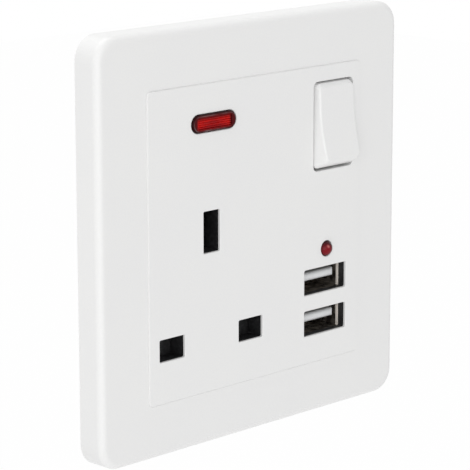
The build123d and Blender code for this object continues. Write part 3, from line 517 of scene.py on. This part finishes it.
def ledEpoxy(name, look):
    finish = Finish(name)
    low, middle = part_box("usb_led")[0], middleOf("usb_led")
    x, y, z = finish.axes()
    lead = y > low.y + look["leadStart"]

    def reach(place):
        across = x - (middle.x + place[0])
        tall = z - (middle.z + place[1])
        return (across * across + tall * tall).root()

    # painted shade darkens the dome from the heart towards its edge
    domeShade = finish.ease(reach(look["heartPlace"]), *look["edgeSpan"])
    # painted highlight: a pale spot laid on the dome
    paintedGlint = finish.ease(reach(look["glintPlace"]), look["glintReach"], 0.0)
    paintedGlint = paintedGlint * (look["glintLeast"] + look["glintMottle"] * finish.noise(look["glintSize"]))
    body = finish.between(domeShade, look["heart"], look["edge"])
    body = finish.between(paintedGlint, body, look["paintedGlint"])
    haze = finish.noise(look["hazeSize"])
    return finish.surface({
        "Base Color": finish.between(lead, body, look["lead"]),
        "Metallic": lead,
        "Roughness": look["gloss"] + look["hazeMatt"] * haze + look["leadMatt"] * lead,
        "Specular IOR Level": look["specular"],
    })


# Neon lamp: clear bulb with a grey getter mist, tinned leads
lampLook = {
    "glass": paint(238, 232, 224),
    "glassGloss": 0.04,
    "clear": 0.85,
    "ior": 1.48,
    "bulb": 10.9 * mm,
    "mist": paint(170, 160, 150),
    "mistSpan": (2.5 * mm, 5.4 * mm),
    "mistSize": 1.1 * mm,
    "mistMatt": 0.3,
    "lead": paint(190, 190, 186),
    "leadSoft": 0.1 * mm,
    "leadGloss": 0.25,
    "leadSpots": 0.2 * mm,
    "leadMatt": 0.15,
}


def lampGlass(name, look):
    finish = Finish(name)
    along = abs(finish.axes()[0] - middleOf("neon_lamp").x)
    leads = finish.ease(along, look["bulb"] / 2, look["bulb"] / 2 + look["leadSoft"])
    mist = finish.ease(along, *look["mistSpan"]) * finish.noise(look["mistSize"])
    glass = finish.principled({
        "Base Color": finish.between(mist, look["glass"], look["mist"]),
        "Roughness": look["glassGloss"] + look["mistMatt"] * mist,
        "Transmission Weight": look["clear"],
        "IOR": look["ior"],
    })
    wire = finish.principled({
        "Base Color": look["lead"],
        "Metallic": 1.0,
        "Roughness": look["leadGloss"] + look["leadMatt"] * finish.noise(look["leadSpots"]),
    })
    return finish.output(finish.node("ShaderNodeMixShader", None, {0: leads, 1: glass, 2: wire}))


# Resistor: lacquered body with colour rings and tinned leads
resistorLook = {
    "coat": paint(198, 168, 124),
    "pale": paint(214, 188, 148),
    "paleSize": 0.8 * mm,
    "body": 4.9 * mm,
    "ringWidth": 0.42 * mm,
    "rings": [
        (-1.5 * mm, paint(112, 62, 30)),
        (-0.5 * mm, paint(36, 34, 34)),
        (0.4 * mm, paint(196, 160, 40)),
        (1.6 * mm, paint(176, 140, 70)),
    ],
    "lead": paint(190, 190, 186),
    "leadGloss": 0.1,
    "gloss": 0.36,
    "spotSize": 0.3 * mm,
    "spotMatt": 0.12,
}


def resistorCoat(name, look):
    finish = Finish(name)
    along = finish.axes()[0] - middleOf("neon_resistor").x
    colour = finish.between(finish.noise(look["paleSize"]), look["coat"], look["pale"])
    for place, ring in look["rings"]:
        band = abs(along - place) < look["ringWidth"] / 2
        colour = finish.between(band, colour, ring)
    leads = abs(along) > look["body"] / 2
    spots = finish.noise(look["spotSize"])
    return finish.surface({
        "Base Color": finish.between(leads, colour, look["lead"]),
        "Metallic": leads,
        "Roughness": look["gloss"] + look["spotMatt"] * spots - look["leadGloss"] * leads,
    })


# Charger board: solder mask with copper tracks under it, tinned pads and a bare cut edge
boardLook = {
    "mask": paint(38, 92, 52),
    "track": paint(58, 124, 70),
    "pad": paint(206, 204, 196),
    "padSize": 0.5 * mm,
    "padMetal": 0.8,
    "edge": paint(176, 160, 96),
    "edgeSpan": (0.02 * mm, 0.06 * mm),
    "edgeMatt": 0.25,
    "pitch": 2.54 * mm,
    "trackWidth": 0.55 * mm,
    "fieldSize": 5 * mm,
    "fieldSpan": (0.44, 0.5),
    "gloss": 0.3,
    "weaveSize": 0.25 * mm,
    "weaveMatt": 0.15,
    "relief": 0.3,
    "reliefDepth": 0.02 * mm,
}


def boardLaminate(name, look):
    finish = Finish(name)
    low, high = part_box("usb_board")
    x, y, z = finish.axes()
    cells = [(axis / look["pitch"]).fraction() - 0.5 for axis in (x, z)]
    field = finish.ease(finish.noise(look["fieldSize"], 0.0), *look["fieldSpan"])
    half = look["trackWidth"] / look["pitch"] / 2
    upright = (abs(cells[0]) < half) * field
    level = (abs(cells[1]) < half) * (1 - field)
    spread = cells[0] * cells[0] + cells[1] * cells[1]
    pads = (spread < (look["padSize"] / look["pitch"]) ** 2) * field
    depth = abs(y - (low.y + high.y) / 2)
    cut = finish.ease(depth, *[(high.y - low.y) / 2 - step for step in look["edgeSpan"]])
    colour = finish.between(upright.most(level), look["mask"], look["track"])
    colour = finish.between(pads, colour, look["pad"])
    weave = finish.noise(look["weaveSize"])
    return finish.surface({
        "Base Color": finish.between(cut, colour, look["edge"]),
        "Metallic": look["padMetal"] * pads * (1 - cut),
        "Roughness": look["gloss"] + look["weaveMatt"] * weave + look["edgeMatt"] * cut,
        "Normal": finish.bump(upright + level, look["relief"], look["reliefDepth"]),
    })


# Transformer: yellow tape wound round a ferrite core
transformerLook = {
    "tape": paint(214, 180, 62),
    "tapeHalf": 2.9 * mm,
    "lap": paint(188, 150, 40),
    "lapPitch": 1.3 * mm,
    "lapSlant": 0.15,
    "lapSpan": (0.0, 0.12),
    "ferrite": paint(58, 57, 56),
    "fleck": paint(84, 82, 80),
    "gritSize": 0.2 * mm,
    "gritDetail": 3.0,
    "gloss": 0.34,
    "coreMatt": 0.3,
    "gritMatt": 0.1,
    "relief": 0.4,
    "reliefDepth": 0.03 * mm,
}


def transformerTape(name, look):
    finish = Finish(name)
    x, y, z = finish.axes()
    core = abs(z - middleOf("transformer").z) > look["tapeHalf"]
    laps = ((y + look["lapSlant"] * x) / look["lapPitch"]).fraction()
    laps = finish.ease(laps, *look["lapSpan"])
    grit = finish.noise(look["gritSize"], look["gritDetail"])
    tape = finish.between(laps, look["lap"], look["tape"])
    ferrite = finish.between(grit, look["ferrite"], look["fleck"])
    return finish.surface({
        "Base Color": finish.between(core, tape, ferrite),
        "Roughness": look["gloss"] + look["coreMatt"] * core + look["gritMatt"] * grit,
        "Normal": finish.bump(laps + core * grit, look["relief"], look["reliefDepth"]),
    })


# Capacitors: shrink sleeve with a pale stripe, bare aluminium on the end
capacitorLook = {
    "sleeve": paint(38, 44, 62),
    "fold": paint(54, 60, 80),
    "foldSize": 0.7 * mm,
    "foldDetail": 3.0,
    "foldStretch": (1, 6, 1),
    "foldMatt": 0.12,
    "stripe": paint(176, 180, 186),
    "stripeSpan": (-1.7 * mm, -1.8 * mm),
    "can": paint(206, 207, 208),
    "canShare": 0.82,
    "canDepth": 0.32 * mm,
    "canMatt": 0.06,
    "gloss": 0.28,
    "relief": 0.25,
    "reliefDepth": 0.02 * mm,
}


def capacitorSleeve(name, node, look):
    finish = Finish(name)
    low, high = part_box(node)
    middle = middleOf(node)
    x, y, z = finish.axes()
    across, tall = x - middle.x, z - middle.z
    canRadius = look["canShare"] * (high.x - low.x) / 2
    can = (across * across + tall * tall) < canRadius ** 2
    can = (y > high.y - look["canDepth"]) * can
    stripe = finish.ease(across, *look["stripeSpan"])
    folds = finish.noise(look["foldSize"], look["foldDetail"], look["foldStretch"])
    colour = finish.between(folds, look["sleeve"], look["fold"])
    colour = finish.between(stripe, colour, look["stripe"])
    return finish.surface({
        "Base Color": finish.between(can, colour, look["can"]),
        "Metallic": can,
        "Roughness": look["gloss"] + look["foldMatt"] * folds + look["canMatt"] * can,
        "Normal": finish.bump(folds, look["relief"], look["reliefDepth"]),
    })


# Charger chip: moulded epoxy body, tinned legs
chipLook = {
    "epoxy": paint(36, 36, 38),
    "speck": paint(58, 58, 60),
    "speckSize": 0.12 * mm,
    "speckDetail": 3.0,
    "speckMatt": 0.12,
    "body": 4.02 * mm,
    "leg": paint(198, 198, 194),
    "legGloss": 0.3,
    "gloss": 0.58,
    "relief": 0.35,
    "reliefDepth": 0.01 * mm,
}


def chipEpoxy(name, look):
    finish = Finish(name)
    legs = abs(finish.axes()[2] - middleOf("charger_chip").z) > look["body"] / 2
    speck = finish.noise(look["speckSize"], look["speckDetail"])
    epoxy = finish.between(speck, look["epoxy"], look["speck"])
    return finish.surface({
        "Base Color": finish.between(legs, epoxy, look["leg"]),
        "Metallic": legs,
        "Roughness": look["gloss"] + look["speckMatt"] * speck - look["legGloss"] * legs,
        "Normal": finish.bump(speck, look["relief"], look["reliefDepth"]),
    })


ownMakers = {
    "plated_shell": (portShell, shellLook),
    "red_lens": (redLens, lensLook),
    "led_lens": (ledEpoxy, ledLook),
    "lamp_glass": (lampGlass, lampLook),
    "resistor_coat": (resistorCoat, resistorLook),
    "board_laminate": (boardLaminate, boardLook),
    "transformer_tape": (transformerTape, transformerLook),
    "chip_epoxy": (chipEpoxy, chipLook),
}
finishes = {name: moulding(name, look, mouldingFeel) for name, look in mouldings.items()}
finishes.update({name: metal(name, look, metalFeel) for name, look in metals.items()})
finishes.update({name: maker(name, look) for name, (maker, look) in ownMakers.items()})
sleeves = {node: capacitorSleeve(node + "_sleeve", node, capacitorLook)
           for node in ("input_capacitor", "output_capacitor")}

slotOf = {part["node"]: part["material_slot"] for part in frame["record"]["subparts"]}
for name, node in frame["nodes"].items():
    for holder in node.material_slots:
        holder.material = sleeves.get(name) or finishes[slotOf[name]]
print("finishes laid on", len(slotOf), "nodes")


class Growth(Graph):
    # A Geometry Nodes tree with named inputs, turned into a plain mesh piece that rides a body.
    def __init__(self, name, inputs):
        tree = bpy.data.node_groups.new(name, "GeometryNodeTree")
        super().__init__(tree)
        self.name = name
        self.values = {}
        kinds = {int: "NodeSocketInt", float: "NodeSocketFloat"}
        for way in ("INPUT", "OUTPUT"):
            tree.interface.new_socket("Geometry", in_out=way, socket_type="NodeSocketGeometry")
        for label, value in inputs.items():
            made = tree.interface.new_socket(label, in_out="INPUT", socket_type=kinds[type(value)])
            self.values[made.identifier] = value
        self.entry = tree.nodes.new("NodeGroupInput")

    def given(self, label):
        return Wire(self, self.entry.outputs[label])

    def vector(self, x=0.0, y=0.0, z=0.0):
        return self.node("ShaderNodeCombineXYZ", None, {0: x, 1: y, 2: z})

    def circle(self, steps, radius):
        sockets = {"Resolution": steps, "Radius": radius}
        return self.node("GeometryNodeCurvePrimitiveCircle", None, sockets)

    def sweep(self, path, section, caps=True):
        sockets = {"Curve": path, "Profile Curve": section, "Fill Caps": caps}
        return self.node("GeometryNodeCurveToMesh", None, sockets)

    def setOn(self, points, instance):
        sockets = {"Points": points, "Instance": instance}
        return self.node("GeometryNodeInstanceOnPoints", None, sockets)

    def grow(self, instances, slot, body, places):
        solid = self.node("GeometryNodeRealizeInstances", None, {0: instances})
        dressing = {"Geometry": solid, "Material": finishes[slot]}
        dressed = self.node("GeometryNodeSetMaterial", None, dressing)
        self.node("NodeGroupOutput", None, {0: dressed})
        seed = bpy.data.meshes.new(self.name + "Seed")
        seed.from_pydata(places, [], [])
        holder = bpy.data.objects.new(self.name + "Holder", seed)
        scene.collection.objects.link(holder)
        modifier = holder.modifiers.new(self.name, "NODES")
        modifier.node_group = self.tree
        for identifier, value in self.values.items():
            modifier[identifier] = value
        graph = bpy.context.evaluated_depsgraph_get()
        mesh = bpy.data.meshes.new_from_object(holder.evaluated_get(graph), depsgraph=graph)
        bpy.data.objects.remove(holder)
        mesh.name = self.name
        piece = bpy.data.objects.new(self.name, mesh)
        scene.collection.objects.link(piece)
        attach(piece, body)
        print("grown:", self.name, len(mesh.polygons), "faces")
        return piece


# Half-round ribs across the floor of the lens window
lensRibs = {
    "count": 5, "pitch": 0.44 * mm, "length": 9.3 * mm, "radius": 0.2 * mm,
    "sides": 16, "windowDepth": 0.3 * mm,
}


def makeLensRibs(plan):
    tree = Growth("lensRibs", {
        "Rib Count": plan["count"],
        "Rib Pitch": plan["pitch"],
        "Rib Length": plan["length"],
        "Rib Radius": plan["radius"],
    })
    half = tree.given("Rib Length") / 2
    ends = {"Start": tree.vector(-1 * half), "End": tree.vector(half)}
    path = tree.node("GeometryNodeCurvePrimitiveLine", None, ends)
    rib = tree.sweep(path, tree.circle(plan["sides"], tree.given("Rib Radius")))
    count, pitch = tree.given("Rib Count"), tree.given("Rib Pitch")
    row = tree.node("GeometryNodeMeshLine", None, {
        "Count": count,
        "Start Location": tree.vector(z=pitch * (1 - count) / 2),
        "Offset": tree.vector(z=pitch),
    })
    field = tree.setOn(tree.given("Geometry"), tree.setOn(row, rib))
    middle = middleOf("neon_lens")
    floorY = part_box("neon_lens")[0].y + plan["windowDepth"]
    tree.grow(field, "red_lens", "socket", [(middle.x, floorY, middle.z)])


# Shutter spring: the same coil as the solid, which it replaces; it rides the socket body and keeps its length.
shutterCoil = {
    "turns": 7.0, "wire": 0.35 * mm, "stepsPerTurn": 32, "sides": 12,
    "reverse": True, "joint": "shutter_lift",
}


def makeShutterCoil(plan):
    low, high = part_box("shutter_spring")
    length = high.z - low.z
    tree = Growth("shutterCoil", {
        "Turns": plan["turns"],
        "Rise": length - plan["wire"],
        "Coil Radius": (high.x - low.x - plan["wire"]) / 2,
        "Wire Radius": plan["wire"] / 2,
    })
    radius = tree.given("Coil Radius")
    path = tree.node("GeometryNodeCurveSpiral", None, {
        "Resolution": plan["stepsPerTurn"],
        "Rotations": tree.given("Turns"),
        "Start Radius": radius,
        "End Radius": radius,
        "Height": tree.given("Rise"),
        "Reverse": plan["reverse"],
    })
    wire = tree.sweep(path, tree.circle(plan["sides"], tree.given("Wire Radius")))
    placed = tree.setOn(tree.given("Geometry"), wire)
    x, y = (low.x + high.x) / 2, (low.y + high.y) / 2
    coil = tree.grow(placed, "spring_steel", "socket", [(x, y, low.z + plan["wire"] / 2)])
    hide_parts("shutter_spring")
    lift = next(joint for joint in frame["joints"] if joint["name"] == plan["joint"])
    keep = 1 - max(lift["range_m"]) / length
    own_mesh(coil)


# Witness rings that ejector pins leave on the rear moulding
ejectorRings = {
    "radius": 2.2 * mm, "bead": 0.09 * mm, "steps": 40, "sides": 8, "rearStep": 0.6 * mm,
    "places": [(-4.0, 12.0), (-4.0, -8.0), (13.0, 12.0), (13.0, -4.0), (-14.0, 3.0), (5.0, -20.0)],
}


def makeEjectorRings(plan):
    tree = Growth("ejectorRings", {"Ring Radius": plan["radius"], "Bead Radius": plan["bead"]})
    path = tree.circle(plan["steps"], tree.given("Ring Radius"))
    ring = tree.sweep(path, tree.circle(plan["sides"], tree.given("Bead Radius")), caps=False)
    turned = {"Geometry": ring, "Rotation": (radians(90), 0, 0)}
    upright = tree.node("GeometryNodeTransform", None, turned)
    rings = tree.setOn(tree.given("Geometry"), upright)
    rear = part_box("rear_housing")[1].y - plan["rearStep"]
    places = [(x * mm, rear, z * mm) for x, z in plan["places"]]
    tree.grow(rings, "black_plastic", "socket", places)


makeLensRibs(lensRibs)
makeShutterCoil(shutterCoil)
makeEjectorRings(ejectorRings)
